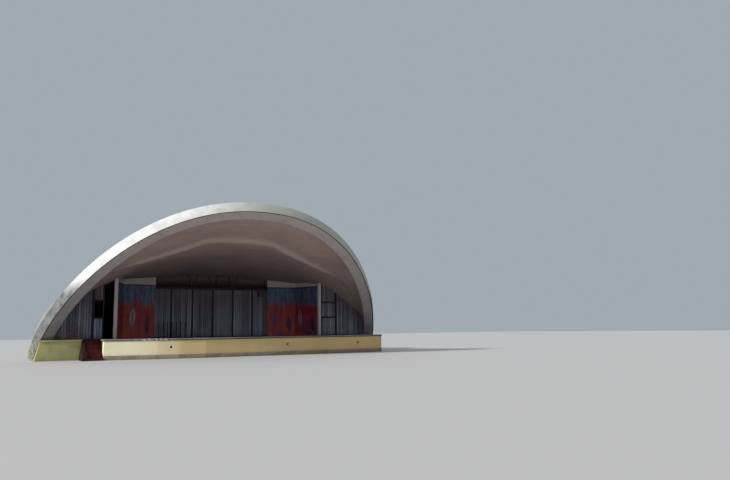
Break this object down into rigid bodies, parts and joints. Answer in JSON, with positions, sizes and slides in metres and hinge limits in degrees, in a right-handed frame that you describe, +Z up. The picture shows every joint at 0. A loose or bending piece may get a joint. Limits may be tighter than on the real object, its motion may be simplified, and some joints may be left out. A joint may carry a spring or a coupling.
{
  "type": "band shell",
  "caption": "Open-air band shell: a leaning concrete arch and vault over a raised stage with a stair, slatted back walls and two painted side screens.",
  "frame": {"origin": "on the ground, midway between the feet of the front arch, which is also the middle of the footprint box", "axes": "+X to the audience's right, +Y away from the audience, +Z up"},
  "size_m": [23.207, 14.3469, 9.1326],
  "materials": {
    "coping_concrete": "rubbed concrete",
    "dark_steel": "dark paint, dull",
    "deck_concrete": "worn screed",
    "grey_boards": "grey painted upright boards",
    "plinth_render": "splashed and dirty render",
    "rail_paint": "brown-red paint",
    "red_brick": "dark red brick, matt",
    "screen_paint": "painted board in blue, crimson and orange",
    "screen_white": "off-white gloss paint gone dull",
    "speaker_case": "black, dull",
    "vault_plaster": "matt limewashed plaster, dusty",
    "white_concrete": "weathered masonry paint, matt",
    "yellow_render": "matt painted render"
  },
  "bodies": {
    "root": {"apron_coping": "coping_concrete", "apron_front_wall": "yellow_render", "apron_left_return": "yellow_render", "apron_plinth": "plinth_render", "apron_right_return": "yellow_render", "apron_vent_bays": "yellow_render", "back_wall_beam": "dark_steel", "back_wall_panels": "grey_boards", "back_wall_posts": "dark_steel", "clerestory_struts": "dark_steel", "front_vault_crown": "vault_plaster", "front_vault_left": "vault_plaster", "front_vault_left_side": "vault_plaster", "front_vault_right": "vault_plaster", "front_vault_right_side": "vault_plaster", "guard_rail": "rail_paint", "left_screen": "screen_paint", "left_screen_header": "screen_white", "left_screen_post": "screen_white", "left_wing_wall": "grey_boards", "platform_wall": "yellow_render", "rear_vault_crown": "vault_plaster", "rear_vault_left": "vault_plaster", "rear_vault_left_side": "vault_plaster", "rear_vault_right": "vault_plaster", "rear_vault_right_side": "vault_plaster", "rear_wall": "yellow_render", "right_screen": "screen_paint", "right_screen_header": "screen_white", "right_screen_post": "screen_white", "right_wing_wall": "grey_boards", "rim_crown": "white_concrete", "rim_left_foot": "white_concrete", "rim_left_haunch": "white_concrete", "rim_left_leg": "white_concrete", "rim_right_foot": "white_concrete", "rim_right_haunch": "white_concrete", "rim_right_leg": "white_concrete", "speaker_box": "speaker_case", "stage_bars": "dark_steel", "stage_deck": "deck_concrete", "stair_cheek": "red_brick", "stair_flight": "red_brick", "wing_bay_panels": "grey_boards", "wing_posts": "dark_steel", "wing_rails": "dark_steel"}
  },
  "joints": []
}
